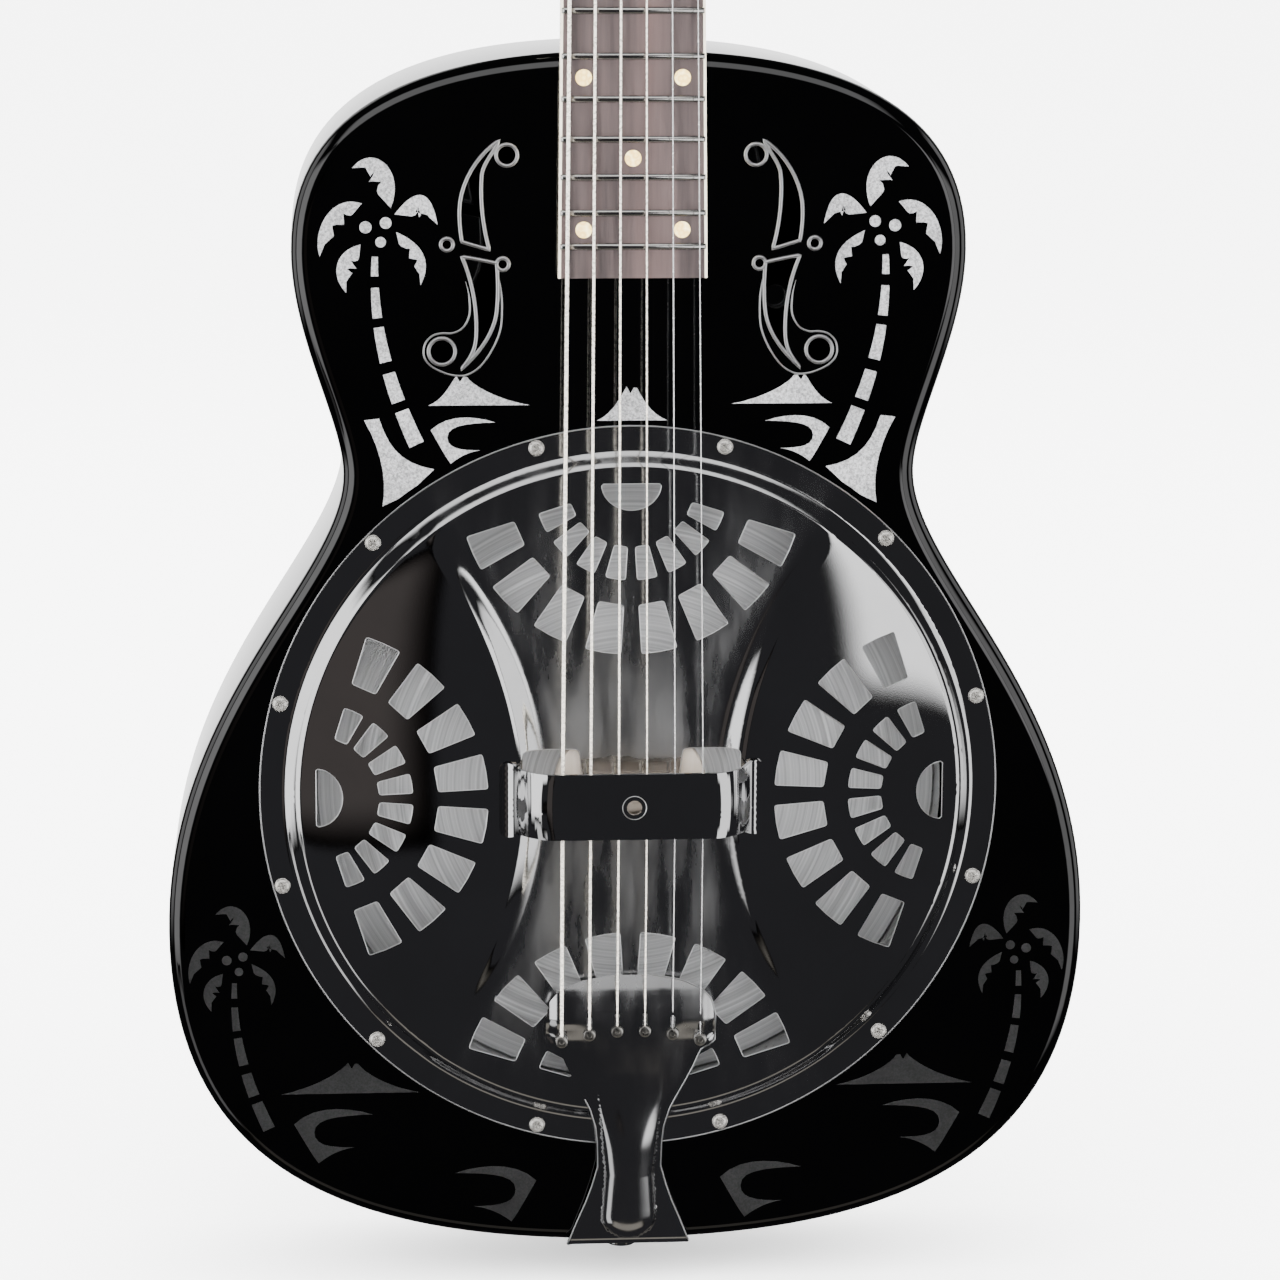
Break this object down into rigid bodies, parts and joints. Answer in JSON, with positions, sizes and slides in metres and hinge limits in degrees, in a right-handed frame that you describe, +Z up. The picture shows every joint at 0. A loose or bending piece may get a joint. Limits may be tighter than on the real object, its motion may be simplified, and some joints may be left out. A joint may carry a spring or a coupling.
{
  "type": "resonator guitar",
  "caption": "Metal-bodied resonator guitar with a slotted coverplate over a spun cone, hand rest, f-holes, fretted neck, strings and geared tuners.",
  "frame": {"origin": "on the centre line at the tail edge of the body, half way through its depth, where a floor stand's cradle takes the guitar", "axes": "+X to the right seen from the front, +Y to the back, +Z up the neck"},
  "size_m": [0.3574, 0.112, 1.0048],
  "materials": {
    "body_plating": "dark mirror plating with dull frosted scenes",
    "bright_plating": "bright mirror plating",
    "well_steel": "plain steel",
    "cone_aluminium": "spun, matte",
    "maple": "plain maple",
    "neck_wood": "dark stained, satin",
    "rosewood": "open grain, oiled",
    "overlay_wood": "black, satin",
    "binding": "cream",
    "fret_wire": "polished nickel silver",
    "pearl": "golden pearl",
    "bone": "bone",
    "black_plastic": "gloss",
    "button_plastic": "cream",
    "brass_parts": "satin",
    "wound_string": "bronze winding",
    "plain_string": "plain steel wire"
  },
  "bodies": {
    "root": {"body_top": "body_plating", "body_sides": "body_plating", "body_back": "body_plating", "soundwell": "well_steel", "cone": "cone_aluminium", "biscuit": "maple", "biscuit_screw": "brass_parts", "saddle": "maple", "coverplate": "bright_plating", "coverplate_screws": "bright_plating", "hand_rest": "bright_plating", "tailpiece": "bright_plating", "end_pin": "bright_plating", "tail_block": "maple", "neck": "neck_wood", "neck_stick": "maple", "stick_posts": "maple", "fretboard": "rosewood", "fretboard_binding": "binding", "frets": "fret_wire", "position_dots": "pearl", "nut": "bone", "truss_rod": "well_steel", "truss_rod_cover": "black_plastic", "headstock_overlay": "overlay_wood", "heel_cap": "black_plastic", "tuner_plates": "bright_plating", "tuner_bushings": "bright_plating", "plate_screws": "bright_plating", "ball_ends": "brass_parts", "string_1": "wound_string", "string_2": "wound_string", "string_3": "wound_string", "string_4": "wound_string", "string_5": "plain_string", "string_6": "plain_string"},
    "tuner_button_1": {"worm_1": "brass_parts", "button_1": "button_plastic"},
    "tuner_post_1": {"post_1": "bright_plating", "gear_1": "brass_parts"},
    "tuner_button_2": {"worm_2": "brass_parts", "button_2": "button_plastic"},
    "tuner_post_2": {"post_2": "bright_plating", "gear_2": "brass_parts"},
    "tuner_button_3": {"worm_3": "brass_parts", "button_3": "button_plastic"},
    "tuner_post_3": {"post_3": "bright_plating", "gear_3": "brass_parts"},
    "tuner_button_4": {"worm_4": "brass_parts", "button_4": "button_plastic"},
    "tuner_post_4": {"post_4": "bright_plating", "gear_4": "brass_parts"},
    "tuner_button_5": {"worm_5": "brass_parts", "button_5": "button_plastic"},
    "tuner_post_5": {"post_5": "bright_plating", "gear_5": "brass_parts"},
    "tuner_button_6": {"worm_6": "brass_parts", "button_6": "button_plastic"},
    "tuner_post_6": {"post_6": "bright_plating", "gear_6": "brass_parts"}
  },
  "joints": [
    {"name": "button_1_turn", "type": "hinge", "parent": "root", "child": "tuner_button_1", "pos_m": [-0.02, -0.00776, 0.8463], "axis": [1, 0, 0], "continuous": true},
    {"name": "post_1_turn", "type": "hinge", "parent": "root", "child": "tuner_post_1", "pos_m": [-0.02, -0.02453, 0.85842], "axis": [0, 0.9636, -0.2672], "continuous": true},
    {"name": "button_2_turn", "type": "hinge", "parent": "root", "child": "tuner_button_2", "pos_m": [-0.02, 0.00293, 0.88485], "axis": [1, 0, 0], "continuous": true},
    {"name": "post_2_turn", "type": "hinge", "parent": "root", "child": "tuner_post_2", "pos_m": [-0.02, -0.01384, 0.89697], "axis": [0, 0.9636, -0.2672], "continuous": true},
    {"name": "button_3_turn", "type": "hinge", "parent": "root", "child": "tuner_button_3", "pos_m": [-0.02, 0.01362, 0.92339], "axis": [1, 0, 0], "continuous": true},
    {"name": "post_3_turn", "type": "hinge", "parent": "root", "child": "tuner_post_3", "pos_m": [-0.02, -0.00315, 0.93551], "axis": [0, 0.9636, -0.2672], "continuous": true},
    {"name": "button_4_turn", "type": "hinge", "parent": "root", "child": "tuner_button_4", "pos_m": [0.02, 0.01362, 0.92339], "axis": [1, 0, 0], "continuous": true},
    {"name": "post_4_turn", "type": "hinge", "parent": "root", "child": "tuner_post_4", "pos_m": [0.02, -0.00315, 0.93551], "axis": [0, 0.9636, -0.2672], "continuous": true},
    {"name": "button_5_turn", "type": "hinge", "parent": "root", "child": "tuner_button_5", "pos_m": [0.02, 0.00293, 0.88485], "axis": [1, 0, 0], "continuous": true},
    {"name": "post_5_turn", "type": "hinge", "parent": "root", "child": "tuner_post_5", "pos_m": [0.02, -0.01384, 0.89697], "axis": [0, 0.9636, -0.2672], "continuous": true},
    {"name": "button_6_turn", "type": "hinge", "parent": "root", "child": "tuner_button_6", "pos_m": [0.02, -0.00776, 0.8463], "axis": [1, 0, 0], "continuous": true},
    {"name": "post_6_turn", "type": "hinge", "parent": "root", "child": "tuner_post_6", "pos_m": [0.02, -0.02453, 0.85842], "axis": [0, 0.9636, -0.2672], "continuous": true}
  ],
  "couplings": [
    {"joint": "post_1_turn", "follows": "button_1_turn", "ratio": 0.071429},
    {"joint": "post_2_turn", "follows": "button_2_turn", "ratio": 0.071429},
    {"joint": "post_3_turn", "follows": "button_3_turn", "ratio": 0.071429},
    {"joint": "post_4_turn", "follows": "button_4_turn", "ratio": 0.071429},
    {"joint": "post_5_turn", "follows": "button_5_turn", "ratio": 0.071429},
    {"joint": "post_6_turn", "follows": "button_6_turn", "ratio": 0.071429}
  ]
}
